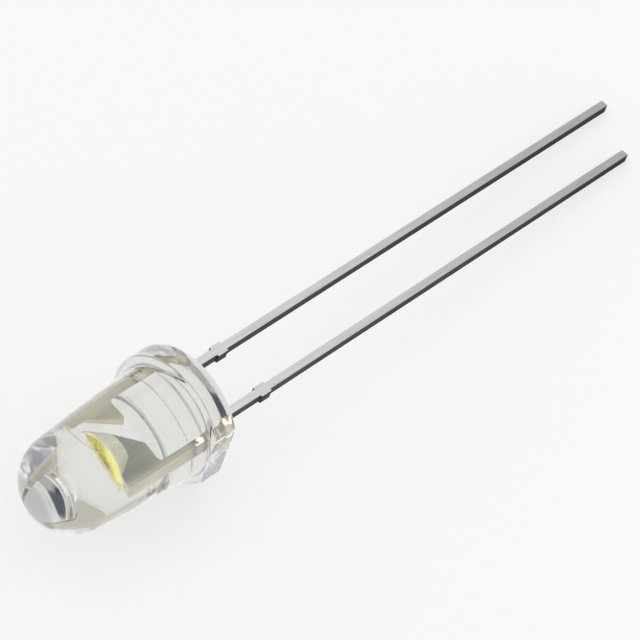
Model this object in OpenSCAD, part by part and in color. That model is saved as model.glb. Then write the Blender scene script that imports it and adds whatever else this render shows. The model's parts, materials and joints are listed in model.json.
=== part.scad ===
// Round 5 mm through-hole LED with a water-clear lens, lying as it comes to rest.
// It leans on the back edge of its flange and on both lead tips.
// The modules draw the LED upright about its own axis, with the centre of the
// flange's back face at the origin, the dome along +Z and the cathode along +X.

/* [Lens] */
// Diameter of the barrel where it leaves the flange
lens_d = 5.0; // [4.7:0.05:5.1]
// Radius of the domed end
dome_r = 2.13; // [2.05:0.01:2.3]
// Height of the moulding, from the flange's back face to the tip of the dome
lens_h = 8.5; // [8.0:0.1:9.5]

/* [Flange] */
// Diameter of the flange
flange_d = 5.8; // [5.7:0.05:6.2]
// Thickness of the flange
flange_t = 1.15; // [0.8:0.05:1.4]
// Distance from the axis to the flat that marks the cathode
flat_x = 2.55; // [2.5:0.05:2.7]
// Rounding of the flange's edges
flange_round = 0.1; // [0.04:0.02:0.16]
// Radius of the fillet between the flange and the barrel
root_round = 0.2; // [0.05:0.05:0.2]

/* [Leads] */
// Distance between the centres of the two leads
lead_pitch = 2.54; // [2.4:0.02:2.7]
// Width of a lead across the pair
lead_w = 0.36; // [0.32:0.01:0.45]
// Thickness of the sheet that both leads are stamped from
lead_t = 0.45; // [0.4:0.01:0.5]
// Length of the anode lead below the flange
anode_l = 28.5; // [24:0.5:32]
// Length of the cathode lead below the flange
cathode_l = 27.0; // [23:0.5:31]
// Distance from the flange to the stub of the tie bar
stub_start = 3.0; // [1:0.1:5]
// Length of the tie bar's stub along the lead
stub_l = 0.6; // [0.4:0.1:1.0]
// How far the stub stands out from each side of the lead
stub_proud = 0.1; // [0.04:0.02:0.2]

/* [Stampings inside the lens] */
// Height above the flange's back face at which the outer side of both stampings steps in
shoulder_z = 0.6; // [0.3:0.1:1.0]
// Distance from the axis to the outer side of both stampings above that step
frame_out_x = 1.38; // [1.34:0.01:1.42]
// Rounding of the inner corners, where the stampings widen
notch_r = 0.12; // [0.06:0.02:0.16]
// Rounding of the outer corners
corner_r = 0.06; // [0.02:0.01:0.1]

/* [Anode post] */
// Height of the post's underside, where it leaves the lead
post_foot_z = 3.04; // [2.8:0.02:3.2]
// Rise of the underside from the lead to the post's toe
post_rise = 0.12; // [0:0.02:0.2]
// Distance from the axis to the toe
post_toe_x = 0.47; // [0.42:0.01:0.6]
// Height at which the post's slanted side ends and its narrow top begins
post_waist_z = 4.5; // [4.3:0.05:4.7]
// Distance from the axis to the inner side of the narrow top
post_top_x = 1.0; // [0.98:0.01:1.05]
// Height of the top of the post, where the anode wire is bonded
post_top_z = 5.2; // [5.1:0.05:5.5]

/* [Cathode anvil] */
// Height of the anvil's underside, where it leaves the lead
anvil_foot_z = 3.12; // [2.8:0.02:3.3]
// Rise of the underside from the lead to the anvil's toe
anvil_rise = 0.08; // [0:0.02:0.2]
// Distance from the axis to the toe
anvil_toe_x = 0.3; // [0.2:0.02:0.5]

/* [Reflector cup] */
// Height of the cup's rim above the flange's back face
cup_rim_z = 5.0; // [4.9:0.05:5.1]
// Outer radius of the cup at its rim
cup_r = 0.84; // [0.8:0.01:0.86]
// Radius of the cup's base, where it grows out of the anvil
cup_base_r = 0.44; // [0.4:0.01:0.5]
// Height of the cup's outside, from the base to the rim
cup_h = 0.83; // [0.75:0.01:0.9]
// Rounding between the cup's base and its side
cup_round = 0.1; // [0.04:0.02:0.16]
// Width of the cup's rim
cup_lip = 0.13; // [0.1:0.01:0.16]
// Depth of the cup's recess
cup_depth = 0.42; // [0.38:0.02:0.46]
// Radius of the floor of the recess
cup_floor_r = 0.42; // [0.38:0.01:0.44]

/* [Chip] */
// Side of the square light-emitting chip
chip_w = 0.36; // [0.3:0.01:0.4]
// Height of the chip
chip_h = 0.12; // [0.08:0.01:0.15]
// Thickness of the glue under the chip
glue_h = 0.02; // [0.01:0.005:0.03]
// How far the glue shows around the chip's corners
glue_margin = 0.04; // [0.02:0.01:0.05]
// How far the phosphor fill lies below the rim
fill_drop = 0.06; // [0.02:0.01:0.1]

/* [Bond wires] */
// Diameter of the gold wires
wire_d = 0.03; // [0.025:0.005:0.04]
// Distance from the axis to the bond of each wire on the chip
ball_x = 0.11; // [0.08:0.01:0.12]
// Height of the anode wire's loop above its chord
anode_loop = 0.34; // [0.3:0.02:0.44]
// Height of the cathode wire's loop above its chord
cathode_loop = 0.32; // [0.28:0.02:0.44]
// Distance from the edge of the post or the rim of the cup to the wire's far bond
bond_in = 0.19; // [0.15:0.01:0.22]

/* [Hidden] */

$fn = 96;
wire_fn = 24;
arc_steps = 6;

flange_r = flange_d / 2;
lens_r = lens_d / 2;
lead_x = lead_pitch / 2;
lead_in_x = lead_x - lead_w / 2;
lead_out_x = lead_x + lead_w / 2;

// The barrel is a cone that runs into the dome without an edge.
// This is the angle above the dome's equator at which the two meet.
dome_z = lens_h - dome_r;
barrel_h = dome_z - flange_t;
barrel_reach = sqrt(lens_r * lens_r + barrel_h * barrel_h);
draft = acos(dome_r / barrel_reach) - atan2(barrel_h, lens_r);
join_r = dome_r * cos(draft);
join_z = dome_z + dome_r * sin(draft);

// The fillet touches the flange's face at root_x and the barrel at [root_top_r, root_top_z].
root_r = min(root_round, flange_r - flange_round - lens_r);
root_x = lens_r + root_r * (1 - sin(draft)) / cos(draft);
root_top_r = root_x - root_r * cos(draft);
root_top_z = flange_t + root_r * (1 - sin(draft));

// Heights inside the cup
cup_base_z = cup_rim_z - cup_h;
cup_floor_z = cup_rim_z - cup_depth;
chip_z = cup_floor_z + glue_h;
chip_top_z = chip_z + chip_h;
fill_top_z = cup_rim_z - fill_drop;
cup_mouth_r = cup_r - cup_lip;
fill_top_r = cup_floor_r + (cup_mouth_r - cup_floor_r) * (cup_depth - fill_drop) / cup_depth;

// Where each wire is bonded, as [x, z]
anode_wire_from = [-ball_x, chip_top_z];
anode_wire_to = [-post_top_x - bond_in, post_top_z];
cathode_wire_from = [ball_x, chip_top_z];
cathode_wire_to = [cup_r + bond_in, cup_rim_z];

// The lean at rest. Down points to the cathode side by side_share times the sine of the tilt,
// so that both lead tips touch the floor together with the flange's back edge.
settle_passes = 20;
side_share = (anode_l - cathode_l) / lead_pitch;
function down_y(s) = sqrt(1 - s * s * (1 + side_share * side_share));
function flange_reach(s) = (flange_r - flange_round) * sqrt(1 - s * s) + flange_round * (1 - s);
function lead_reach(s) = lead_t / 2 * down_y(s) + lead_w / 2 * abs(side_share) * s - lead_x * side_share * s;
function settle(s, passes) =
    passes == 0 ? s : settle((flange_reach(s) - lead_reach(s)) / anode_l, passes - 1);
tilt_sine = settle(0.1, settle_passes);
tilt = asin(tilt_sine);
roll = atan2(side_share * tilt_sine, down_y(tilt_sine));

// Lays the upright LED down, with the dome towards -X, the leads towards +X
// and the anode's side of the flange towards +Y.
module at_rest() {
    rotate([0, tilt - 90, 0]) rotate([0, 0, -90 - roll]) children();
}

// The points of an outline given as corners [x, z, rounding].
function rounded(corners) = [
    for (i = [0 : len(corners) - 1])
        each corner_arc(corners[(i + len(corners) - 1) % len(corners)], corners[i], corners[(i + 1) % len(corners)])
];
function corner_arc(before, corner, after) =
    let (
        at = [corner[0], corner[1]],
        back = [before[0] - corner[0], before[1] - corner[1]],
        on = [after[0] - corner[0], after[1] - corner[1]],
        u = back / norm(back),
        v = on / norm(on),
        half = acos(u * v) / 2,
        centre = at + (u + v) / norm(u + v) * corner[2] / sin(half),
        side = cross(u, v) > 0 ? -1 : 1,
        first = atan2(side * u[0], -side * u[1])
    )
    corner[2] == 0 ? [at] : [
        for (i = [0 : arc_steps])
            let (a = first + side * (180 - 2 * half) * i / arc_steps)
            centre + corner[2] * [cos(a), sin(a)]
    ];

// Extrudes an outline drawn in the plane of both leads, [x, z], to the thickness of the sheet.
module stamp() {
    rotate([90, 0, 0]) linear_extrude(height = lead_t, center = true) children();
}

// The two long sides of a lead with the stub of the tie bar, up the inner side and down the outer side.
function inner_side(length) = [
    [lead_in_x, -length, 0],
    [lead_in_x, -stub_start - stub_l, 0],
    [lead_in_x - stub_proud, -stub_start - stub_l, 0],
    [lead_in_x - stub_proud, -stub_start, 0],
    [lead_in_x, -stub_start, 0],
];
function outer_side(length) = [
    [frame_out_x, shoulder_z, 0],
    [lead_out_x, shoulder_z, 0],
    [lead_out_x, -stub_start, 0],
    [lead_out_x + stub_proud, -stub_start, 0],
    [lead_out_x + stub_proud, -stub_start - stub_l, 0],
    [lead_out_x, -stub_start - stub_l, 0],
    [lead_out_x, -length, 0],
];

module anode_outline() {
    mirror([1, 0]) polygon(rounded(concat(inner_side(anode_l), [
        [lead_in_x, post_foot_z, notch_r],
        [post_toe_x, post_foot_z + post_rise, corner_r],
        [post_top_x, post_waist_z, notch_r],
        [post_top_x, post_top_z, corner_r],
        [frame_out_x, post_top_z, corner_r],
    ], outer_side(anode_l))));
}

module cathode_outline() {
    polygon(rounded(concat(inner_side(cathode_l), [
        [lead_in_x, anvil_foot_z, notch_r],
        [anvil_toe_x, anvil_foot_z + anvil_rise, corner_r],
        [-cup_base_r, cup_base_z + cup_round, 0],
        [0, cup_base_z + cup_round, 0],
        [0, cup_rim_z, 0],
        [frame_out_x, cup_rim_z, corner_r],
    ], outer_side(cathode_l))));
}

// A disc with rounded edges, standing on the origin.
module rounded_disc(r, t, edge) {
    rotate_extrude() union() {
        square([r - edge, t]);
        translate([0, edge]) square([r, t - 2 * edge]);
        translate([r - edge, edge]) circle(edge);
        translate([r - edge, t - edge]) circle(edge);
    }
}

// The foot of the barrel with the fillet that leads into the flange's face.
module barrel_root() {
    rotate_extrude() difference() {
        polygon([[0, flange_t / 2], [lens_r, flange_t / 2], [lens_r, flange_t], [root_x, flange_t],
                 [root_top_r, root_top_z], [0, root_top_z]]);
        translate([root_x, flange_t + root_r]) circle(root_r);
    }
}

module moulding() {
    intersection() {
        union() {
            rounded_disc(flange_r, flange_t, flange_round);
            barrel_root();
        }
        translate([-flange_d, -flange_d, 0]) cube([flange_d + flat_x, 2 * flange_d, lens_h / 2]);
    }
    rotate_extrude() union() {
        polygon([[0, flange_t / 2], [lens_r, flange_t / 2], [lens_r, flange_t], [join_r, join_z], [0, join_z]]);
        intersection() {
            translate([0, dome_z]) circle(dome_r);
            translate([0, join_z]) square([dome_r, dome_r]);
        }
    }
}

// The outside of the cup, turned from its half outline.
module cup_body() {
    rotate_extrude() polygon(rounded([
        [0, cup_base_z, 0],
        [cup_base_r, cup_base_z, cup_round],
        [cup_r, cup_rim_z, 0],
        [0, cup_rim_z, 0],
    ]));
}

// The recess of the cup, filled up to the height top where its radius is r.
module cup_space(top, r) {
    translate([0, 0, cup_floor_z]) cylinder(h = top - cup_floor_z, r1 = cup_floor_r, r2 = r);
}

// The flattened foot of a wire, standing on the point [x, z] of what it is bonded to.
module bond(at) {
    translate([at[0], 0, at[1]]) cylinder(h = wire_d, r = wire_d, $fn = wire_fn);
}

// A wire bent to an arc between its two bonds [x, z], with the loop above its chord.
module wire(from, to, loop) {
    chord = to - from;
    half = norm(chord) / 2;
    bend_r = (half * half + loop * loop) / (2 * loop);
    half_angle = asin(half / bend_r);
    side = chord[0] > 0 ? 1 : -1;
    normal = [-chord[1], chord[0]] * side / norm(chord);
    centre = (from + to) / 2 - normal * (bend_r - loop) + [0, wire_d / 2];
    middle_angle = atan2(normal[1], normal[0]);
    translate([centre[0], 0, centre[1]]) rotate([90, 0, 0]) rotate([0, 0, middle_angle - half_angle])
        rotate_extrude(angle = 2 * half_angle) translate([bend_r, 0]) circle(wire_d / 2, $fn = wire_fn);
    bond(from);
    bond(to);
}

module chip_body() {
    translate([-chip_w / 2, -chip_w / 2, chip_z]) cube([chip_w, chip_w, chip_h]);
}

module glue_body() {
    translate([0, 0, cup_floor_z]) cylinder(h = glue_h, r = norm([chip_w, chip_w]) / 2 + glue_margin);
}

module anode_body() {
    stamp() anode_outline();
}

module cathode_body() {
    difference() {
        union() {
            stamp() cathode_outline();
            cup_body();
        }
        cup_space(cup_rim_z, cup_mouth_r);
    }
}

module anode_wire() {
    wire(anode_wire_from, anode_wire_to, anode_loop);
}

module cathode_wire() {
    wire(cathode_wire_from, cathode_wire_to, cathode_loop);
}

module epoxy_lens() {
    color([0.9, 0.92, 0.92, 0.35]) at_rest() difference() {
        moulding();
        anode_body();
        cathode_body();
        cup_space(fill_top_z, fill_top_r);
        anode_wire();
        cathode_wire();
    }
}

module anode_lead() {
    color("silver") at_rest() anode_body();
}

module cathode_lead() {
    color("silver") at_rest() cathode_body();
}

module chip() {
    color([0.45, 0.5, 0.55]) at_rest() chip_body();
}

module chip_glue() {
    color([0.8, 0.8, 0.78]) at_rest() glue_body();
}

module phosphor_fill() {
    color([0.88, 0.86, 0.3]) at_rest() difference() {
        cup_space(fill_top_z, fill_top_r);
        glue_body();
        chip_body();
        anode_wire();
        cathode_wire();
    }
}

module anode_bond_wire() {
    color("gold") at_rest() anode_wire();
}

module cathode_bond_wire() {
    color("gold") at_rest() cathode_wire();
}

epoxy_lens();
anode_lead();
cathode_lead();
chip();
chip_glue();
phosphor_fill();
anode_bond_wire();
cathode_bond_wire();
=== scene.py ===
"""A round 5 mm through-hole LED with a water-clear lens, lying on a pale floor under soft light.

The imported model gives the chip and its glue. This script models the clear moulding, the two stampings, the
cup's phosphor and the bond wires more finely, gives every piece its finish, and sets up the floor, the light
and the camera. Sizes are in millimetres along the upright LED's own axes: Z to the dome, X to the cathode.
"""
import json
import logging
import math
from dataclasses import dataclass, field
from enum import Enum

import bmesh
import bpy
from mathutils import Matrix, Vector


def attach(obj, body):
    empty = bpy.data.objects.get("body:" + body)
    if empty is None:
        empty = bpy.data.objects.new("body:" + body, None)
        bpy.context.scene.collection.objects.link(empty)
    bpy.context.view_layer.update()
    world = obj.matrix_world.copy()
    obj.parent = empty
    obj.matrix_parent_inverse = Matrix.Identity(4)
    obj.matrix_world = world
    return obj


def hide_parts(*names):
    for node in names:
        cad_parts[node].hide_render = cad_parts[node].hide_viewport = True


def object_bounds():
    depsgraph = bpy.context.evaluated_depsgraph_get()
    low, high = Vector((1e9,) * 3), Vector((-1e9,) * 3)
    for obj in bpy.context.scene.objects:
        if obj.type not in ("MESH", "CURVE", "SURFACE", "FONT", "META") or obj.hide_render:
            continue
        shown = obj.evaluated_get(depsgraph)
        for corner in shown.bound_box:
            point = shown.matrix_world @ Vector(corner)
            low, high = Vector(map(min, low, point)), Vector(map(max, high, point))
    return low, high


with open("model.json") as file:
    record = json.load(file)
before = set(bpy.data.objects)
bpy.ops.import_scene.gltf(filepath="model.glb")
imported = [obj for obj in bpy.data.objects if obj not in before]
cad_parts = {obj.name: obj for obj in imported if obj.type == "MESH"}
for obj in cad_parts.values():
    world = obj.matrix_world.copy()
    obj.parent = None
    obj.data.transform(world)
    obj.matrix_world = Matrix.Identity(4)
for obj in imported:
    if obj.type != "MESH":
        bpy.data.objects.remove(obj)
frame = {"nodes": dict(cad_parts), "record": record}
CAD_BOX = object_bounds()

MM = 0.001
ROOT = "root"
LOG = logging.getLogger("led")
Colour = tuple[float, float, float]
Point = tuple[float, float, float]
Station = tuple[float, float, float]
Socket = bpy.types.NodeSocket
Value = float | Colour | Socket


class Slot(Enum):
    """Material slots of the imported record."""

    EPOXY = "clear_epoxy"
    STEEL = "plated_steel"
    CHIP = "chip"
    GLUE = "chip_glue"
    PHOSPHOR = "phosphor"
    WIRE = "bond_wire"


class Zone(Enum):
    """Outputs of the group that says where on the LED a point of a surface is."""

    ACROSS = "Across"
    THROUGH = "Through"
    ALONG = "Along"
    SIDE = "Side"
    HEADING = "Heading"
    FACING = "Facing"
    END = "End"
    RADIUS = "Radius"


@dataclass
class LedAxes:
    """The LED's own axes as it lies: origin on the flange's back face, Z to the dome, X to the cathode."""

    origin: Vector = field(init=False)
    x: Vector = field(init=False)
    y: Vector = field(init=False)
    z: Vector = field(init=False)

    def __post_init__(self) -> None:
        """Reads the axes from the places of the record's mounts."""
        mounts = {m["name"]: m for m in frame["record"]["mounts"]}
        self.origin = Vector(mounts["seating_face"]["pos_m"])
        self.z = Vector(mounts["flange_rim"]["axis"]).normalized()
        across = Vector(mounts["cathode_pin"]["pos_m"]) - Vector(mounts["anode_pin"]["pos_m"])
        self.x = (across - self.z * across.dot(self.z)).normalized()
        self.y = self.z.cross(self.x)

    def matrix(self) -> Matrix:
        """Gives the matrix that takes the upright LED, in millimetres, to where it lies."""
        turn = Matrix((self.x, self.y, self.z)).transposed().to_4x4()
        return Matrix.Translation(self.origin) @ turn @ Matrix.Scale(MM, 4)

    def place(self, x: float, y: float, z: float) -> Vector:
        """Gives the resting place of a point of the upright LED, in millimetres."""
        return self.matrix() @ Vector((x, y, z))

    def aim(self, x: float, y: float, z: float) -> Vector:
        """Gives the resting direction of a direction of the upright LED."""
        return (self.x * x + self.y * y + self.z * z).normalized()


# Modelling steps


def deselect_all() -> None:
    """Leaves object mode with nothing selected."""
    if bpy.context.object and bpy.context.object.mode != "OBJECT":
        bpy.ops.object.mode_set(mode="OBJECT")
    bpy.ops.object.select_all(action="DESELECT")


def make_active(piece: bpy.types.Object) -> None:
    """Selects one object alone and makes it active."""
    deselect_all()
    piece.select_set(True)
    bpy.context.view_layer.objects.active = piece


def edit_all(piece: bpy.types.Object) -> None:
    """Opens a piece in edit mode with all of it selected."""
    make_active(piece)
    bpy.ops.object.mode_set(mode="EDIT")
    bpy.ops.mesh.select_all(action="SELECT")


def close_edit() -> None:
    """Points all faces outward and leaves edit mode."""
    bpy.ops.mesh.select_all(action="SELECT")
    bpy.ops.mesh.normals_make_consistent(inside=False)
    bpy.ops.object.mode_set(mode="OBJECT")


def extrude_to(dz: float) -> None:
    """Extrudes what is selected along Z by dz millimetres."""
    bpy.ops.mesh.extrude_region_move(TRANSFORM_OT_translate={"value": (0, 0, dz)})


def held(rings: list[tuple[float, float]], reach: float = 0.015) -> list[tuple[float, float]]:
    """Adds a ring just inside both ends of each long step of a half outline.

    Args:
        rings: Radius and height of each ring.
        reach: How far from the end of a step the added ring stands.

    Returns:
        The rings, with which smooth shading stays true on the straight parts.
    """
    out = [rings[0]]
    for (r0, z0), (r1, z1) in zip(rings, rings[1:]):
        share = reach / math.hypot(r1 - r0, z1 - z0)
        if share < 0.2:
            out.append((r0 + (r1 - r0) * share, z0 + (z1 - z0) * share))
            out.append((r1 + (r0 - r1) * share, z1 + (z0 - z1) * share))
        out.append((r1, z1))
    return out


def turned(name: str, rings: list[tuple[float, float]], sides: int, x: float = 0.0) -> bpy.types.Object:
    """Turns a closed solid from its half outline.

    Args:
        name: The piece's name.
        rings: Radius and height of each ring. The first is capped flat, the last is closed at its centre.
        sides: Corners of each ring.
        x: Where the piece's axis stands across the pair of leads.

    Returns:
        The upright piece.
    """
    deselect_all()
    r0, z0 = rings[0]
    bpy.ops.mesh.primitive_circle_add(vertices=sides, radius=r0, fill_type="NGON", location=(x, 0, z0))
    piece = bpy.context.object
    piece.name = piece.data.name = name
    bpy.ops.object.transform_apply(location=True)
    edit_all(piece)
    for r1, z1 in rings[1:]:
        extrude_to(z1 - z0)
        if r1 > 0:
            bpy.ops.transform.resize(value=(r1 / r0, r1 / r0, 1), center_override=(x, 0, z1))
        else:
            bpy.ops.mesh.merge(type="CENTER")
        r0, z0 = r1, z1
    close_edit()
    return piece


def stamped(name: str, stations: list[Station], sheet: float) -> bpy.types.Object:
    """Draws a flat stamped piece up through its stations, as a chain of extrusions.

    Args:
        name: The piece's name.
        stations: Height and side limits (z, x low, x high), from the lowest up.
        sheet: The sheet's thickness along Y.

    Returns:
        The upright piece.
    """
    deselect_all()
    z0, low, high = stations[0]
    middle = (low + high) / 2
    bpy.ops.mesh.primitive_plane_add(size=1, location=(middle, 0, z0))
    piece = bpy.context.object
    piece.name = piece.data.name = name
    bpy.ops.object.transform_apply(location=True)
    edit_all(piece)
    bpy.ops.transform.resize(value=(high - low, sheet, 1), center_override=(middle, 0, 0))
    for z1, low1, high1 in stations[1:]:
        extrude_to(z1 - z0)
        bpy.ops.transform.translate(value=((low1 + high1 - low - high) / 2, 0, 0))
        wide = (high1 - low1) / (high - low)
        bpy.ops.transform.resize(value=(wide, 1, 1), center_override=((low1 + high1) / 2, 0, 0))
        z0, low, high = z1, low1, high1
    bpy.ops.mesh.select_all(action="SELECT")
    bpy.ops.mesh.dissolve_limited(angle_limit=math.radians(0.1))
    close_edit()
    return piece


def round_corner(piece: bpy.types.Object, x: float, z: float, width: float, segments: int = 6) -> None:
    """Rounds the upright corner of a stamping that stands at one point of its outline.

    Args:
        piece: The stamping.
        x: Where the corner is across the pair of leads.
        z: The corner's height.
        width: Distance from the corner at which the rounding starts.
        segments: Steps across the rounding.
    """
    make_active(piece)
    bpy.ops.object.mode_set(mode="EDIT")
    bpy.ops.mesh.select_mode(type="EDGE")
    bpy.ops.mesh.select_all(action="DESELECT")
    mesh = bmesh.from_edit_mesh(piece.data)
    spot = Vector((x, z))
    for edge in mesh.edges:
        if all((v.co.xz - spot).length < 0.004 for v in edge.verts):
            edge.select = True
    bmesh.update_edit_mesh(piece.data)
    bpy.ops.mesh.bevel(offset=width, segments=segments, affect="EDGES", clamp_overlap=True)
    bpy.ops.mesh.select_mode(type="VERT")
    bpy.ops.object.mode_set(mode="OBJECT")


def soften_edges(piece: bpy.types.Object, width: float, segments: int = 2, angle_deg: float = 40) -> None:
    """Breaks the sharp edges of a piece.

    Args:
        piece: The object to soften.
        width: The bevel's width in millimetres.
        segments: Steps across the bevel.
        angle_deg: Only edges sharper than this are softened.
    """
    make_active(piece)
    bevel = piece.modifiers.new("broken edges", "BEVEL")
    bevel.width = width
    bevel.segments = segments
    bevel.limit_method = "ANGLE"
    bevel.angle_limit = math.radians(angle_deg)
    bpy.ops.object.modifier_apply(modifier=bevel.name)


def combine(piece: bpy.types.Object, other: bpy.types.Object, how: str) -> None:
    """Adds another solid to a piece, or cuts it out of the piece, and removes the other.

    Args:
        piece: The solid that stays.
        other: The solid that is used up.
        how: UNION or DIFFERENCE.
    """
    make_active(piece)
    step = piece.modifiers.new(how.lower(), "BOOLEAN")
    step.object = other
    step.operation = how
    step.solver = "EXACT"
    bpy.ops.object.modifier_apply(modifier=step.name)
    bpy.data.objects.remove(other, do_unlink=True)


def lay_down(piece: bpy.types.Object, axes: LedAxes, smooth_deg: float, weighted: bool = False) -> None:
    """Smooths a finished piece, brings it to true size and turns it to where the LED lies.

    Args:
        piece: A mesh object modelled upright in millimetres, with its own origin at the world's.
        axes: The axes of the LED at rest.
        smooth_deg: Edges sharper than this angle stay hard.
        weighted: Whether large flat faces keep their own shading beside broken edges.
    """
    make_active(piece)
    bpy.ops.object.shade_smooth_by_angle(angle=math.radians(smooth_deg))
    piece.data.transform(axes.matrix())
    piece.data.update()
    if weighted:
        shading = piece.modifiers.new("flat faces", "WEIGHTED_NORMAL")
        shading.keep_sharp = True
        bpy.ops.object.modifier_apply(modifier=shading.name)


# The LED's pieces


@dataclass
class Moulding:
    """The clear epoxy casting: flange with its flat, tapered barrel and dome."""

    axes: LedAxes
    barrel_r: float = 2.5
    dome_r: float = 2.13
    height: float = 8.5
    flange_r: float = 2.9
    flange_t: float = 1.15
    flat_x: float = 2.55
    edge: float = 0.1
    corner: float = 0.27
    meniscus: float = 0.2
    meniscus_r: float = 1.3
    meniscus_end: float = 2.7
    sides: int = 192
    edge_steps: int = 10
    hollow_steps: int = 24
    dome_steps: int = 48

    def profile(self) -> list[tuple[float, float]]:
        """Works out the half outline that the casting is turned from.

        Returns:
            Radius and height of each ring, from the back face's edge to the dome's tip.
        """
        rim = self.flange_r - self.edge
        arc = [math.pi / 2 * i / self.edge_steps for i in range(self.edge_steps + 1)]
        back = [(rim + self.edge * math.sin(a), self.edge * (1 - math.cos(a))) for a in arc]
        reach = self.meniscus_end - self.meniscus_r
        shares = [i / self.hollow_steps for i in range(self.hollow_steps)]
        hollow = [(self.meniscus_r + reach * u, self.meniscus * (1 - u * u * (3 - 2 * u))) for u in shares]
        front = [(rim + self.edge * math.cos(a), self.flange_t - self.edge * (1 - math.sin(a))) for a in arc]
        neck = self.barrel_r + self.corner
        root = [(neck - self.corner * math.sin(a), self.flange_t + self.corner * (1 - math.cos(a))) for a in arc]
        equator = self.height - self.dome_r
        rise = equator - self.flange_t
        draft = math.acos(self.dome_r / math.hypot(self.barrel_r, rise)) - math.atan2(rise, self.barrel_r)
        turn = math.pi / 2 - draft
        angles = [draft + turn * i / self.dome_steps for i in range(self.dome_steps)]
        dome = [(self.dome_r * math.cos(a), equator + self.dome_r * math.sin(a)) for a in angles]
        return held(hollow + back + front + root + dome) + [(0, self.height)]

    def build(self) -> bpy.types.Object:
        """Turns the casting, cuts its flat and lays it down."""
        piece = turned("clear_moulding", self.profile(), self.sides)
        edit_all(piece)
        bpy.ops.mesh.bisect(
            plane_co=(self.flat_x, 0, 0), plane_no=(1, 0, 0), clear_outer=True, use_fill=True, threshold=1e-5
        )
        close_edit()
        lay_down(piece, self.axes, 25)
        return piece


@dataclass
class LeadFrame:
    """Sizes that both stampings share."""

    axes: LedAxes
    pitch: float = 2.54
    width: float = 0.36
    sheet: float = 0.45
    stub_start: float = 3.0
    stub_l: float = 0.6
    stub_proud: float = 0.1
    shoulder_z: float = 0.6
    out_x: float = 1.38
    notch: float = 0.2
    corner: float = 0.06
    broken: float = 0.018
    ease: float = 0.02

    @property
    def in_x(self) -> float:
        """Distance from the axis to the inner side of either lead."""
        return self.pitch / 2 - self.width / 2

    def stem(self, length: float, foot_z: float) -> list[Station]:
        """Gives the stations on the cathode's side from the lead's tip to where the stamping widens.

        Args:
            length: The lead's length below the flange.
            foot_z: Height at which the stamping widens.
        """
        low, high, proud = self.in_x, self.in_x + self.width, self.stub_proud
        foot, top = -self.stub_start - self.stub_l, -self.stub_start
        return [
            (-length, low, high),
            (foot, low, high),
            (foot + self.ease, low - proud, high + proud),
            (top - self.ease, low - proud, high + proud),
            (top, low, high),
            (self.shoulder_z - self.ease, low, high),
            (self.shoulder_z, low, self.out_x),
            (foot_z, low, self.out_x),
        ]


@dataclass
class AnodeLead:
    """The longer lead, with its post inside the epoxy."""

    frame: LeadFrame
    length: float = 28.5
    foot_z: float = 3.04
    rise: float = 0.12
    toe_x: float = 0.47
    waist_z: float = 4.5
    top_x: float = 1.0
    top_z: float = 5.2

    def build(self) -> bpy.types.Object:
        """Models the lead and lays it down."""
        shared = self.frame
        toe_z = self.foot_z + self.rise
        stations = shared.stem(self.length, self.foot_z) + [
            (toe_z, self.toe_x, shared.out_x),
            (self.waist_z, self.top_x, shared.out_x),
            (self.top_z, self.top_x, shared.out_x),
        ]
        mirrored = [(z, -high, -low) for z, low, high in stations]
        piece = stamped("anode_stamping", mirrored, shared.sheet)
        round_corner(piece, -shared.in_x, self.foot_z, shared.notch)
        round_corner(piece, -self.toe_x, toe_z, shared.corner * 2.5)
        round_corner(piece, -self.top_x, self.waist_z, shared.notch / 2)
        round_corner(piece, -self.top_x, self.top_z, shared.corner, 4)
        round_corner(piece, -shared.out_x, self.top_z, shared.corner, 4)
        soften_edges(piece, shared.broken)
        lay_down(piece, shared.axes, 35, weighted=True)
        return piece


@dataclass
class ReflectorCup:
    """The bowl coined into the top of the cathode's anvil."""

    rim_z: float = 5.0
    rim_r: float = 0.84
    base_r: float = 0.44
    height: float = 0.83
    rounding: float = 0.1
    lip: float = 0.13
    depth: float = 0.42
    floor_r: float = 0.42
    rim_edge: float = 0.025
    sides: int = 128
    steps: int = 6

    @property
    def base_z(self) -> float:
        """Height of the underside of the bowl."""
        return self.rim_z - self.height

    @property
    def floor_z(self) -> float:
        """Height of the floor of the recess."""
        return self.rim_z - self.depth

    def outside(self) -> bpy.types.Object:
        """Turns the bowl's outside, with a rounded base and rim."""
        lean = math.atan2(self.rim_r - self.base_r, self.height)
        reach = self.rounding * math.tan((math.pi / 2 - lean) / 2)
        centre_r, centre_z = self.base_r - reach, self.base_z + self.rounding
        turns = [-math.pi / 2 + (math.pi / 2 - lean) * i / self.steps for i in range(self.steps + 1)]
        base = [(centre_r + self.rounding * math.cos(t), centre_z + self.rounding * math.sin(t)) for t in turns]
        edge = self.rim_edge
        side_r, side_z = self.rim_r - edge * math.tan(lean), self.rim_z - edge
        soft = [math.pi / 2 * i / 4 for i in range(5)]
        rim = [(side_r - edge * (1 - math.cos(t)), side_z + edge * math.sin(t)) for t in soft]
        return turned("cathode_bowl", base + rim + [(0, self.rim_z)], self.sides)

    def recess(self) -> bpy.types.Object:
        """Turns the shape of the bowl's recess, flared a little at the mouth."""
        mouth, edge = self.rim_r - self.lip, self.rim_edge
        slope = (mouth - self.floor_r) / self.depth
        soft = [math.pi / 2 * i / 4 for i in range(5)]
        start_r, start_z = mouth - edge * slope, self.rim_z - edge
        flare = [(start_r + edge * (1 - math.cos(t)), start_z + edge * math.sin(t)) for t in soft]
        above = self.rim_z + 0.1
        rings = [(self.floor_r - 0.04, self.floor_z), (self.floor_r, self.floor_z + 0.02)] + flare
        return turned("cup_recess", rings + [(flare[-1][0], above), (0, above)], self.sides)


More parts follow.
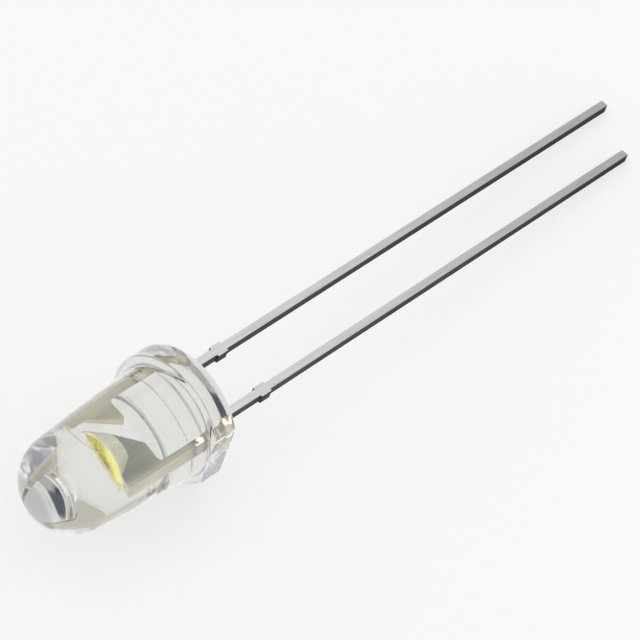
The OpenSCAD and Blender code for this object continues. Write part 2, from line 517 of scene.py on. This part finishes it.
@dataclass
class CathodeLead:
    """The shorter lead, with the anvil and the reflector cup inside the epoxy."""

    frame: LeadFrame
    cup: ReflectorCup
    length: float = 27.0
    foot_z: float = 3.12
    rise: float = 0.08
    toe_x: float = 0.3

    def build(self) -> bpy.types.Object:
        """Models the lead, adds the bowl, cuts its recess, and lays it down."""
        shared, cup = self.frame, self.cup
        toe_z, collar_z = self.foot_z + self.rise, cup.base_z + cup.rounding
        stations = shared.stem(self.length, self.foot_z) + [
            (toe_z, self.toe_x, shared.out_x),
            (collar_z, -cup.base_r, shared.out_x),
            (collar_z + shared.ease, 0.0, shared.out_x),
            (cup.rim_z, 0.0, shared.out_x),
        ]
        piece = stamped("cathode_stamping", stations, shared.sheet)
        round_corner(piece, shared.in_x, self.foot_z, shared.notch)
        round_corner(piece, self.toe_x, toe_z, shared.corner)
        round_corner(piece, shared.out_x, cup.rim_z, shared.corner, 4)
        soften_edges(piece, shared.broken)
        combine(piece, cup.outside(), "UNION")
        combine(piece, cup.recess(), "DIFFERENCE")
        lay_down(piece, shared.axes, 35, weighted=True)
        return piece


@dataclass
class PhosphorFill:
    """The yellow fill of the cup, which creeps up the wall and swells a little over the chip."""

    axes: LedAxes
    cup: ReflectorCup
    drop: float = 0.13
    creep: float = 0.04
    swell: float = 0.03
    rings: int = 24
    sides: int = 128

    def build(self) -> bpy.types.Object:
        """Turns the fill and lays it down."""
        cup = self.cup
        slope = (cup.rim_r - cup.lip - cup.floor_r) / cup.depth
        top_z = cup.rim_z - self.drop
        edge_z = top_z + self.creep
        edge_r = cup.floor_r + slope * (edge_z - cup.floor_z)
        rings = [(cup.floor_r, cup.floor_z), (edge_r, edge_z)]
        for i in range(1, self.rings):
            r = edge_r * (1 - i / self.rings)
            wet = math.exp((r - edge_r) / 0.05)
            hump = math.exp(-((r / 0.24) ** 2))
            rings.append((r, top_z + self.creep * wet + self.swell * hump))
        piece = turned("cup_fill", rings + [(0, top_z + self.swell)], self.sides)
        lay_down(piece, self.axes, 50)
        return piece


@dataclass
class BondWire:
    """A gold wire from the chip to one stamping, with a ball at one end and a flattened foot at the other."""

    axes: LedAxes
    name: str
    start: tuple[float, float]
    end: tuple[float, float]
    loop: float
    diameter: float = 0.03
    sides: int = 16
    steps: int = 40

    def build(self) -> bpy.types.Object:
        """Spins the wire along its arc, adds its ends and lays it down."""
        start, end = Vector(self.start), Vector(self.end)
        chord = end - start
        bend_r = (chord.length_squared / 4 + self.loop**2) / (2 * self.loop)
        away = Vector((-chord.y, chord.x)).normalized() * (1 if chord.x > 0 else -1)
        lift = Vector((0, self.diameter / 2))
        centre = (start + end) / 2 + lift - away * (bend_r - self.loop)
        first, last = start + lift - centre, end + lift - centre
        begin, finish = math.atan2(first.x, first.y), math.atan2(last.x, last.y)
        deselect_all()
        bpy.ops.mesh.primitive_circle_add(
            vertices=self.sides,
            radius=self.diameter / 2,
            fill_type="NGON",
            location=(start.x, 0, (start + lift).y),
            rotation=(0, begin + math.pi / 2, 0),
        )
        piece = bpy.context.object
        piece.name = piece.data.name = self.name
        bpy.ops.object.transform_apply(location=True, rotation=True)
        edit_all(piece)
        bpy.ops.mesh.spin(
            steps=self.steps, angle=finish - begin, center=(centre.x, 0, centre.y), axis=(0, -1, 0)
        )
        close_edit()
        d = self.diameter
        ball = [(0.9, 0.0), (1.25, 0.25), (1.3, 0.5), (1.1, 0.85), (0.6, 1.1), (0, 1.15)]
        foot = [(0.9, 0.0), (1.1, 0.15), (1.0, 0.4), (0.5, 0.75), (0, 0.8)]
        for at, rings in ((start, ball), (end, foot)):
            combine(piece, turned("wire_end", [(r * d, at.y + h * d) for r, h in rings], 24, at.x), "UNION")
        lay_down(piece, self.axes, 60)
        return piece


# Finishes


class Graph:
    """A node tree, with short calls to add and join its nodes."""

    def __init__(self, tree: bpy.types.NodeTree) -> None:
        """Takes the tree that the calls work on."""
        self.tree = tree

    def join(self, value: Value, socket: Socket) -> None:
        """Links an output to an input socket, or sets a number, vector or colour there."""
        if isinstance(value, bpy.types.NodeSocket):
            self.tree.links.new(value, socket)
        elif socket.type == "RGBA":
            socket.default_value = (*value, 1.0)
        else:
            socket.default_value = value

    def node(self, kind: str, inputs: dict[str, Value] | None = None, **settings: object) -> bpy.types.Node:
        """Adds a node.

        Args:
            kind: The node's type, without the prefix that all shader nodes share.
            inputs: A number, colour or output for each input socket that is set.
            settings: Properties of the node itself.

        Returns:
            The node.
        """
        made = self.tree.nodes.new("ShaderNode" + kind)
        for name, setting in settings.items():
            setattr(made, name, setting)
        for name, value in (inputs or {}).items():
            self.join(value, made.inputs[name])
        return made

    def calc(self, operation: str, first: Value, second: Value = 0.0) -> Socket:
        """Adds a Math node and gives its output."""
        made = self.node("Math", operation=operation)
        self.join(first, made.inputs[0])
        self.join(second, made.inputs[1])
        return made.outputs[0]

    def dot(self, vector: Socket, axis: Vector) -> Socket:
        """Adds a dot product with a fixed direction and gives its output."""
        made = self.node("VectorMath", operation="DOT_PRODUCT")
        self.join(vector, made.inputs[0])
        made.inputs[1].default_value = axis
        return made.outputs["Value"]

    def ramp(self, value: Value, low: float, high: float, out_low: float = 0.0, out_high: float = 1.0) -> Socket:
        """Maps a value's range smoothly onto another and gives the output."""
        limits = {"Value": value, "From Min": low, "From Max": high, "To Min": out_low, "To Max": out_high}
        return self.node("MapRange", limits, interpolation_type="SMOOTHSTEP").outputs["Result"]

    def mix(self, share: Value, first: Value, second: Value, blend: str = "MIX") -> Socket:
        """Mixes two colours and gives the output."""
        made = self.node("Mix", data_type="RGBA", blend_type=blend)
        self.join(share, made.inputs[0])
        self.join(first, made.inputs[6])
        self.join(second, made.inputs[7])
        return made.outputs[2]


def new_group(name: str, inputs: dict[str, float], outputs: list[str]) -> tuple[Graph, bpy.types.Node, bpy.types.Node]:
    """Starts a shader node group whose inputs and outputs are all plain values.

    Args:
        name: The group's name.
        inputs: Each input's name and default.
        outputs: The outputs' names.

    Returns:
        The group's graph, its input node and its output node.
    """
    tree = bpy.data.node_groups.new(name, "ShaderNodeTree")
    for socket_name, default in inputs.items():
        socket = tree.interface.new_socket(socket_name, in_out="INPUT", socket_type="NodeSocketFloat")
        socket.default_value = default
    for socket_name in outputs:
        tree.interface.new_socket(socket_name, in_out="OUTPUT", socket_type="NodeSocketFloat")
    return Graph(tree), tree.nodes.new("NodeGroupInput"), tree.nodes.new("NodeGroupOutput")


@dataclass
class SharedEffects:
    """The node groups that several finishes use."""

    axes: LedAxes
    where: bpy.types.NodeTree = field(init=False)
    grain: bpy.types.NodeTree = field(init=False)
    mottle: bpy.types.NodeTree = field(init=False)

    def __post_init__(self) -> None:
        """Builds each group once."""
        self.where = self.make_where()
        self.grain = self.make_grain()
        self.mottle = self.make_mottle()

    def make_where(self) -> bpy.types.NodeTree:
        """Builds the group that gives a point's place on the LED in millimetres, and which way it faces."""
        graph, _, out = new_group("place on the LED", {}, [zone.value for zone in Zone])
        spot = graph.node("TexCoord").outputs
        lengths = []
        for zone, axis in ((Zone.ACROSS, self.axes.x), (Zone.THROUGH, self.axes.y), (Zone.ALONG, self.axes.z)):
            offset = self.axes.origin.dot(axis)
            length = graph.calc("SUBTRACT", graph.dot(spot["Object"], axis), offset)
            lengths.append(graph.calc("MULTIPLY", length, 1 / MM))
            graph.join(lengths[-1], out.inputs[zone.value])
        squares = [graph.calc("MULTIPLY", length, length) for length in lengths[:2]]
        radius = graph.calc("SQRT", graph.calc("ADD", *squares))
        graph.join(radius, out.inputs[Zone.RADIUS.value])
        for zone, axis in ((Zone.SIDE, self.axes.x), (Zone.END, self.axes.z)):
            graph.join(graph.calc("ABSOLUTE", graph.dot(spot["Normal"], axis)), out.inputs[zone.value])
        for zone, axis in ((Zone.HEADING, self.axes.x), (Zone.FACING, self.axes.y)):
            graph.join(graph.dot(spot["Normal"], axis), out.inputs[zone.value])
        return graph.tree

    def make_grain(self) -> bpy.types.NodeTree:
        """Builds the group of fine streaks that run along the leads, as rolled sheet has them."""
        graph, given, out = new_group("rolled grain", {"Fineness": 30.0, "Stretch": 0.02}, ["Streaks"])
        spot = graph.node("TexCoord").outputs["Object"]
        fine = graph.calc("MULTIPLY", given.outputs["Fineness"], 1 / MM)
        slow = graph.calc("MULTIPLY", fine, given.outputs["Stretch"])
        parts = [
            graph.calc("MULTIPLY", graph.dot(spot, axis), scale)
            for axis, scale in ((self.axes.x, fine), (self.axes.y, fine), (self.axes.z, slow))
        ]
        place = graph.node("CombineXYZ", dict(zip("XYZ", parts)))
        noise = graph.node("TexNoise", {"Vector": place.outputs["Vector"], "Scale": 1.0, "Detail": 4.0})
        graph.join(graph.ramp(noise.outputs["Fac"], 0.3, 0.7), out.inputs["Streaks"])
        return graph.tree

    def make_mottle(self) -> bpy.types.NodeTree:
        """Builds the group of soft uneven patches with fine specks over them."""
        graph, given, out = new_group("mottle", {"Patch Scale": 2.0, "Speck Scale": 40.0}, ["Patches", "Specks"])
        spot = graph.node("TexCoord").outputs["Object"]
        for name, target in (("Patch Scale", "Patches"), ("Speck Scale", "Specks")):
            size = graph.calc("MULTIPLY", given.outputs[name], 1 / MM)
            noise = graph.node("TexNoise", {"Vector": spot, "Scale": size, "Detail": 3.0})
            graph.join(graph.ramp(noise.outputs["Fac"], 0.3, 0.7), out.inputs[target])
        return graph.tree


def new_material(name: str) -> tuple[bpy.types.Material, Graph, bpy.types.Node]:
    """Starts a material and gives it with its graph and its shader."""
    mat = bpy.data.materials.new(name)
    mat.use_nodes = True
    return mat, Graph(mat.node_tree), mat.node_tree.nodes["Principled BSDF"]


@dataclass(frozen=True)
class ClearEpoxy:
    """Water-clear cast epoxy, with a painted pale glow for the light that is left in it after many turns round the
    inside.
    """

    effects: SharedEffects
    ior: float = 1.53
    clarity: float = 0.98
    roughness: float = 0.02
    body: Colour = (0.765, 0.775, 0.74)
    cloud: Colour = (0.735, 0.745, 0.715)
    # painted glow for the light left after many turns round the inside
    turned_light: Colour = (0.25, 0.235, 0.27)

    def material(self) -> bpy.types.Material:
        """Builds the material."""
        mat, graph, shader = new_material("clear_epoxy")
        shader.inputs["Roughness"].default_value = self.roughness
        shader.inputs["IOR"].default_value = self.ior
        shader.inputs["Transmission Weight"].default_value = self.clarity
        mottle = graph.node("Group", node_tree=self.effects.mottle)
        mottle.inputs["Patch Scale"].default_value = 0.6
        graph.join(graph.mix(mottle.outputs["Patches"], self.body, self.cloud), shader.inputs["Base Color"])
        # painted glow, given where a path has used up its glossy bounces
        turned = graph.calc("GREATER_THAN", graph.node("LightPath").outputs["Glossy Depth"], 3.5)
        graph.join(graph.mix(turned, (0.0, 0.0, 0.0), self.turned_light), shader.inputs["Emission Color"])
        shader.inputs["Emission Strength"].default_value = 1.0
        return mat


@dataclass(frozen=True)
class Plating:
    """Silver-plated lead frame: light rolled faces, shear faces painted dark as shade, painted shade toward the tips,
    and warmer where it lies in the epoxy, with painted light, shade, glints and glow there.
    """

    effects: SharedEffects
    name: str
    # painted light and shade: inside the epoxy the front, sides, foot and outer edge each take their own colour, and
    # the two leads take a light and a shaded copy of one plating
    sealed: Colour
    sealed_side: Colour
    sealed_foot: Colour
    sealed_edge: Colour
    glints: float
    foot_brown_share: float
    # painted light: the backs inside the epoxy are pale
    sealed_back: Colour = (1.0, 0.97, 0.87)
    rolled: Colour = (0.75, 0.75, 0.755)
    # painted shade: the leads darken toward their tips
    rolled_shaded_tip: Colour = (0.50, 0.505, 0.505)
    # painted shade: the shear faces outside the epoxy take a dark colour for the shade they fall in
    side_shade: Colour = (0.105, 0.105, 0.108)
    side_shade_tip: Colour = (0.052, 0.053, 0.056)
    # painted light: the shear faces that face -X are lighter
    minus_x_side_light: Colour = (0.36, 0.36, 0.345)
    # painted light: the bowl's outer wall, where it stands proud of the sheet, is pale in place of what it reflects
    bowl: Colour = (0.98, 0.95, 0.80)
    # painted glints: bright patches on the front faces near the foot
    glint: Colour = (1.0, 0.97, 0.86)
    # a darker brown for patches at the foot and a band that grows darker toward the flange
    foot_brown: Colour = (0.16, 0.13, 0.08)
    frost_metal: float = 0.25
    roughness: float = 0.34
    sheared_roughness: float = 0.8
    # painted glow, given where a path has used up its glossy bounces
    turned_light: Colour = (0.13, 0.14, 0.16)
    # painted light: a faint glow on the backs inside the epoxy
    back_light: Colour = (0.06, 0.057, 0.045)
    # painted light: a glow on the bowl's outer wall
    bowl_light: Colour = (0.22, 0.21, 0.165)
    # painted highlight: a cream glow along the top of the cup's rim
    lip_light: Colour = (0.30, 0.28, 0.16)
    # painted glints: their glow
    glint_light: Colour = (0.60, 0.57, 0.45)

    def material(self) -> bpy.types.Material:
        """Builds the material."""
        mat, graph, shader = new_material(self.name)
        where = graph.node("Group", node_tree=self.effects.where).outputs
        streaks = graph.node("Group", node_tree=self.effects.grain).outputs["Streaks"]
        edgewise = graph.calc("MAXIMUM", where[Zone.SIDE.value], where[Zone.END.value])
        side = graph.ramp(edgewise, 0.45, 0.85)
        height = where[Zone.ALONG.value]
        # painted shade: how far a lead has darkened toward its tip
        down = graph.ramp(height, -28.0, 0.0)
        # painted shade: the shear faces outside the epoxy are dark, darker still at the tips
        painted_sides = graph.mix(down, self.side_shade_tip, self.side_shade)
        # painted light: faces turned to -X are made lighter
        painted_sides = graph.mix(graph.ramp(where[Zone.HEADING.value], -0.5, -0.8), painted_sides, self.minus_x_side_light)
        outer = graph.mix(side, graph.mix(down, self.rolled_shaded_tip, self.rolled), painted_sides)
        back = graph.ramp(where[Zone.FACING.value], -0.3, -0.6)
        # painted light and shade: the front changes colour at the foot and toward the outer edge, and the sides take
        # their own colour
        front = graph.mix(graph.ramp(height, 2.4, 4.1), self.sealed_foot, self.sealed)
        front = graph.mix(graph.ramp(where[Zone.ACROSS.value], 0.95, 1.36), front, self.sealed_edge)
        # painted light: the backs take a pale colour
        inner = graph.mix(back, graph.mix(side, front, self.sealed_side), self.sealed_back)
        proud = graph.ramp(graph.calc("ABSOLUTE", where[Zone.THROUGH.value]), 0.226, 0.232)
        # painted light: the bowl's outer wall is pale
        inner = graph.mix(proud, inner, self.bowl)
        mottle = graph.node("Group", node_tree=self.effects.mottle)
        mottle.inputs["Patch Scale"].default_value = 2.4
        patches = mottle.outputs["Patches"]
        # painted glints: bright, glowing patches on the front faces near the foot
        foot = graph.calc("MULTIPLY", graph.ramp(height, 0.1, 0.4), graph.ramp(height, 1.7, 1.2))
        shown = graph.calc("MULTIPLY", graph.ramp(where[Zone.FACING.value], 0.3, 0.7), self.glints)
        glint_spots = graph.calc("MULTIPLY", graph.calc("MULTIPLY", foot, shown), graph.ramp(patches, 0.5, 0.62))
        # darker brown in patches at the foot, and more of it below a height of 1.1 mm
        browned = graph.calc("MAXIMUM", graph.ramp(patches, 0.6, 0.25), graph.ramp(height, 1.1, 0.6, 0.0, 0.55))
        browned = graph.calc("MULTIPLY", browned, self.foot_brown_share)
        inner = graph.mix(graph.calc("MULTIPLY", foot, browned), inner, self.foot_brown)
        inner = graph.mix(glint_spots, inner, self.glint)
        inside = graph.ramp(height, -0.02, 0.05)
        whole = graph.mix(inside, outer, inner)
        worn = graph.mix(graph.calc("MULTIPLY", streaks, 0.22), whole, (0.35, 0.35, 0.35), "MULTIPLY")
        graph.join(worn, shader.inputs["Base Color"])
        frosted = graph.calc("MULTIPLY", inside, graph.calc("MAXIMUM", back, proud))
        graph.join(graph.ramp(frosted, 0.0, 1.0, 1.0, self.frost_metal), shader.inputs["Metallic"])
        rough = graph.ramp(streaks, 0.0, 1.0, self.roughness - 0.06, self.roughness + 0.08)
        coarse = graph.calc("MULTIPLY", side, graph.ramp(inside, 0.0, 1.0, self.sheared_roughness - self.roughness, 0.0))
        graph.join(graph.calc("ADD", rough, coarse), shader.inputs["Roughness"])
        # painted highlight: the top of the cup's rim glows cream in patches
        lip = graph.calc("MULTIPLY", graph.ramp(where[Zone.RADIUS.value], 0.9, 0.86), graph.ramp(height, 4.96, 4.99))
        # painted light: the backs inside the epoxy glow faintly
        lit = graph.mix(graph.calc("MULTIPLY", back, inside), (0.0, 0.0, 0.0), self.back_light)
        # painted light: the bowl's outer wall glows, broken by the streaks
        lit = graph.mix(proud, lit, graph.mix(graph.calc("MULTIPLY", streaks, 0.6), self.bowl_light, (0.0, 0.0, 0.0)))
        lit = graph.mix(graph.calc("MULTIPLY", lip, graph.ramp(patches, 0.1, 0.7)), lit, self.lip_light)
        # painted glints glow
        lit = graph.mix(graph.calc("MULTIPLY", glint_spots, inside), lit, self.glint_light)
        # painted glow, given where a path has used up its glossy bounces
        turned = graph.calc("GREATER_THAN", graph.node("LightPath").outputs["Glossy Depth"], 3.5)
        graph.join(graph.mix(turned, lit, self.turned_light), shader.inputs["Emission Color"])
        shader.inputs["Emission Strength"].default_value = 1.0
        bump = graph.node("Bump", {"Height": streaks, "Strength": 0.12, "Distance": 0.004 * MM})
        graph.join(bump.outputs["Normal"], shader.inputs["Normal"])
        return mat


@dataclass(frozen=True)
class Phosphor:
    """Yellow phosphor set in clear resin, with painted light across the cup: olive and speckled on its shaded side, a
    painted pale yellow glow on its lit side, and painted shadow in specks along its -Y rim.
    """

    effects: SharedEffects
    # painted light: the fill is saturated on its shaded side and paler on its lit side
    shade_yellow: Colour = (0.97, 0.95, 0.15)
    lit_side: Colour = (0.97, 0.94, 0.30)
    # colour of the specks, also used for painted shadow along the rim toward -Y
    speck_and_shade: Colour = (0.26, 0.20, 0.05)
    # painted glow, faint on the shaded side and strong on the lit side
    faint: Colour = (0.07, 0.066, 0.0)
    glow: Colour = (0.52, 0.475, 0.13)

    def material(self) -> bpy.types.Material:
        """Builds the material."""
        mat, graph, shader = new_material("phosphor")
        where = graph.node("Group", node_tree=self.effects.where).outputs
        mottle = graph.node("Group", node_tree=self.effects.mottle)
        mottle.inputs["Patch Scale"].default_value = 5.0
        mottle.inputs["Speck Scale"].default_value = 16.0
        patches, specks = mottle.outputs["Patches"], mottle.outputs["Specks"]
        # painted light: a slope across the cup from its shaded side to its lit side, with patches
        toward = graph.calc("MULTIPLY", where[Zone.THROUGH.value], 0.35)
        along = graph.calc("ADD", where[Zone.ACROSS.value], graph.calc("MULTIPLY", patches, 0.16))
        along = graph.calc("ADD", along, toward)
        lit_side = graph.ramp(along, -0.35, 0.35)
        colour = graph.mix(lit_side, self.shade_yellow, self.lit_side)
        # painted shadow: brown specks along the rim toward -Y
        rim = graph.calc("MULTIPLY", graph.ramp(where[Zone.THROUGH.value], -0.22, -0.45), graph.ramp(where[Zone.ACROSS.value], 0.3, -0.1))
        dots_and_shade = graph.calc("MULTIPLY", graph.ramp(specks, 0.72, 0.95), graph.ramp(lit_side, 0.9, 0.2, 0.1, 0.8))
        dots_and_shade = graph.calc("MAXIMUM", dots_and_shade, graph.calc("MULTIPLY", rim, graph.ramp(patches, 0.25, 0.9, 0.0, 0.75)))
        graph.join(graph.mix(dots_and_shade, colour, self.speck_and_shade), shader.inputs["Base Color"])
        # painted glow, strongest on the lit side
        graph.join(graph.mix(graph.ramp(along, -0.25, 0.35), self.faint, self.glow), shader.inputs["Emission Color"])
        shader.inputs["Emission Strength"].default_value = 1.0
        graph.join(graph.ramp(patches, 0.0, 1.0, 0.35, 0.6), shader.inputs["Roughness"])
        bump = graph.node("Bump", {"Height": specks, "Strength": 0.4, "Distance": 0.01 * MM})
        graph.join(bump.outputs["Normal"], shader.inputs["Normal"])
        return mat


@dataclass(frozen=True)
class DrawnGold:
    """Bright drawn gold wire."""

    effects: SharedEffects
    bright: Colour = (0.95, 0.86, 0.66)
    dull: Colour = (0.80, 0.70, 0.50)

    def material(self) -> bpy.types.Material:
        """Builds the material."""
        mat, graph, shader = new_material("drawn_gold")
        shader.inputs["Metallic"].default_value = 1.0
        mottle = graph.node("Group", node_tree=self.effects.mottle)
        mottle.inputs["Patch Scale"].default_value = 8.0
        patches = mottle.outputs["Patches"]
        graph.join(graph.mix(patches, self.bright, self.dull), shader.inputs["Base Color"])
        graph.join(graph.ramp(patches, 0.0, 1.0, 0.18, 0.32), shader.inputs["Roughness"])
        return mat


@dataclass(frozen=True)
class MottledFinish:
    """A non-metal whose colour and gloss wander a little, as on the chip and its glue."""

    effects: SharedEffects
    name: str
    light: Colour
    dark: Colour
    roughness: float

    def material(self) -> bpy.types.Material:
        """Builds the material."""
        mat, graph, shader = new_material(self.name)
        mottle = graph.node("Group", node_tree=self.effects.mottle)
        mottle.inputs["Patch Scale"].default_value = 7.0
        patches, specks = mottle.outputs["Patches"], mottle.outputs["Specks"]
        colour = graph.mix(patches, self.light, self.dark)
        graph.join(graph.mix(graph.calc("MULTIPLY", specks, 0.2), colour, self.dark), shader.inputs["Base Color"])
        graph.join(graph.ramp(specks, 0.0, 1.0, self.roughness, self.roughness + 0.12), shader.inputs["Roughness"])
        return mat


@dataclass
class Studio:
    """The floor, the cards, the light and the camera."""

    axes: LedAxes
    distance: float = 160.0
    focal_px: float = 3987.4
    frame_px: float = 640.0
    toward: Point = (0.315, 0.7277, 0.6093)
    up: Point = (-0.6397, 0.637, -0.4302)
    centre: Point = (1.571, 3.647, -5.169)

    def camera(self) -> None:
        """Adds the camera at the photograph's viewing angle."""
        back = self.axes.aim(*self.toward)
        up = self.axes.aim(*self.up)
        right = up.cross(back).normalized()
        up = back.cross(right)
        spot = self.axes.place(*self.centre) + back * self.distance * MM
        data = bpy.data.cameras.new("camera")
        data.sensor_width = 36.0
        data.lens = self.focal_px * data.sensor_width / self.frame_px
        data.clip_start = 0.01
        data.clip_end = 10.0
        camera = bpy.data.objects.new("camera", data)
        camera.matrix_world = Matrix.Translation(spot) @ Matrix((right, up, back)).transposed().to_4x4()
        bpy.context.scene.collection.objects.link(camera)
        bpy.context.scene.camera = camera

    def floor(self) -> None:
        """Adds the floor under the object's lowest point."""
        deselect_all()
        bpy.ops.mesh.primitive_plane_add(size=4.0, location=(0, 0, CAD_BOX[0].z))
        floor = bpy.context.object
        floor.name = "floor"
        mat = bpy.data.materials.new("floor")
        mat.use_nodes = True
        mat.node_tree.nodes.clear()
        graph = Graph(mat.node_tree)
        matt = graph.node("BsdfDiffuse", {"Color": (0.97, 0.97, 0.97)})
        glow = graph.node("Emission", {"Strength": 1.0})
        path = graph.node("LightPath").outputs
        seen = graph.calc("MAXIMUM", path["Is Glossy Ray"], path["Is Transmission Ray"])
        share = graph.calc("MULTIPLY", path["Is Camera Ray"], 0.6)
        mix = graph.node("MixShader", {"Fac": graph.calc("MAXIMUM", seen, share)})
        graph.join(matt.outputs[0], mix.inputs[1])
        graph.join(glow.outputs[0], mix.inputs[2])
        graph.join(mix.outputs[0], graph.node("OutputMaterial").inputs["Surface"])
        floor.data.materials.append(mat)

    def card(self, name: str, place: Point, half_angle: float, colour: Colour, core: float) -> None:
        """Adds a round card that faces the LED, with an edge that thins out to what is behind it.

        Args:
            name: The card's name.
            place: Degrees round the LED from +X, degrees above the floor, and distance in millimetres.
            half_angle: How large the card looks from the LED, in degrees.
            colour: The light that its middle gives.
            core: Share of its radius that keeps the middle's colour.
        """
        deselect_all()
        turn, rise, reach = math.radians(place[0]), math.radians(place[1]), place[2] * MM
        direction = Vector((math.cos(turn) * math.cos(rise), math.sin(turn) * math.cos(rise), math.sin(rise)))
        radius = reach * math.tan(math.radians(half_angle))
        bpy.ops.mesh.primitive_circle_add(
            vertices=64,
            radius=radius,
            fill_type="NGON",
            location=direction * reach,
            rotation=direction.to_track_quat("Z", "Y").to_euler(),
        )
        card = bpy.context.object
        card.name = name
        mat = bpy.data.materials.new(name)
        mat.use_nodes = True
        mat.node_tree.nodes.clear()
        graph = Graph(mat.node_tree)
        out = graph.node("VectorMath", operation="LENGTH")
        graph.join(graph.node("TexCoord").outputs["Object"], out.inputs[0])
        soft = graph.node("MixShader", {"Fac": graph.ramp(out.outputs["Value"], core * radius, radius)})
        graph.join(graph.node("Emission", {"Color": colour, "Strength": 1.0}).outputs[0], soft.inputs[1])
        graph.join(graph.node("BsdfTransparent").outputs[0], soft.inputs[2])
        graph.join(soft.outputs[0], graph.node("OutputMaterial").inputs["Surface"])
        card.data.materials.append(mat)
        card.visible_camera = False

    def cards(self) -> None:
        """Adds the cards that the clear parts mirror."""
        self.card("dark_card", (196.5, 46.5, 250.0), 12.5, (0.0, 0.010, 0.045), 0.55)
        self.card("mauve_card", (216.0, 39.0, 290.0), 12.0, (0.52, 0.47, 0.52), 0.6)
        self.card("low_card", (192.0, 22.0, 270.0), 9.0, (0.22, 0.23, 0.25), 0.4)
        self.card("grey_card", (342.0, 20.0, 330.0), 40.0, (0.60, 0.61, 0.63), 0.5)
        self.card("back_card", (122.0, 26.0, 270.0), 17.0, (0.50, 0.505, 0.52), 0.5)
        self.card("blue_card", (64.0, 40.0, 250.0), 20.0, (0.33, 0.35, 0.40), 0.5)

    def light(self) -> None:
        """Adds the world's light."""
        world = bpy.data.worlds.new("studio")
        bpy.context.scene.world = world
        world.use_nodes = True
        world.node_tree.nodes.clear()
        graph = Graph(world.node_tree)
        background = graph.node("Background", {"Color": (1.0, 1.0, 1.0), "Strength": 1.0})
        graph.join(background.outputs[0], graph.node("OutputWorld").inputs["Surface"])
        bpy.context.scene.view_settings.view_transform = "Standard"


def dress(piece: bpy.types.Object, node: str, mat: bpy.types.Material) -> None:
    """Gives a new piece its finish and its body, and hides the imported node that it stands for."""
    piece.data.materials.clear()
    piece.data.materials.append(mat)
    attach(piece, ROOT)
    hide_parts(node)
    LOG.info("%s: %d faces", piece.name, len(piece.data.polygons))


def main() -> None:
    """Builds the LED's looks, piece by piece."""
    logging.basicConfig(level=logging.INFO, format="%(message)s")
    axes = LedAxes()
    effects = SharedEffects(axes)
    shared, cup = LeadFrame(axes), ReflectorCup()
    dress(Moulding(axes).build(), "epoxy_lens", ClearEpoxy(effects).material())
    # one plating in two copies: light on the anode, shaded on the cathode, with painted light and shade face by face
    anode_finish = Plating(effects, "anode_plating", (0.86, 0.80, 0.64), (0.82, 0.76, 0.56), (0.86, 0.80, 0.64), (0.86, 0.80, 0.64), 0.12, 1.0)
    dress(AnodeLead(shared).build(), "anode_lead", anode_finish.material())
    cathode_finish = Plating(effects, "cathode_plating", (0.42, 0.43, 0.37), (0.92, 0.86, 0.73), (0.64, 0.65, 0.57), (0.84, 0.80, 0.69), 1.0, 0.5)
    dress(CathodeLead(shared, cup).build(), "cathode_lead", cathode_finish.material())
    dress(PhosphorFill(axes, cup).build(), "phosphor_fill", Phosphor(effects).material())
    gold = DrawnGold(effects).material()
    anode_wire = BondWire(axes, "anode_wire", (-0.11, 4.72), (-1.19, 5.2), 0.34)
    dress(anode_wire.build(), "anode_bond_wire", gold)
    cathode_wire = BondWire(axes, "cathode_wire", (0.11, 4.72), (1.03, 5.0), 0.32)
    dress(cathode_wire.build(), "cathode_bond_wire", gold)
    finishes = {
        "chip": MottledFinish(effects, "chip", (0.42, 0.48, 0.54), (0.30, 0.35, 0.42), 0.12),
        "chip_glue": MottledFinish(effects, "chip_glue", (0.74, 0.74, 0.70), (0.60, 0.60, 0.56), 0.3),
    }
    for name, finish in finishes.items():
        node = frame["nodes"][name]
        node.data.materials.clear()
        node.data.materials.append(finish.material())
    studio = Studio(axes)
    studio.floor()
    studio.cards()
    studio.light()
    studio.camera()


if __name__ == "__main__":
    main()
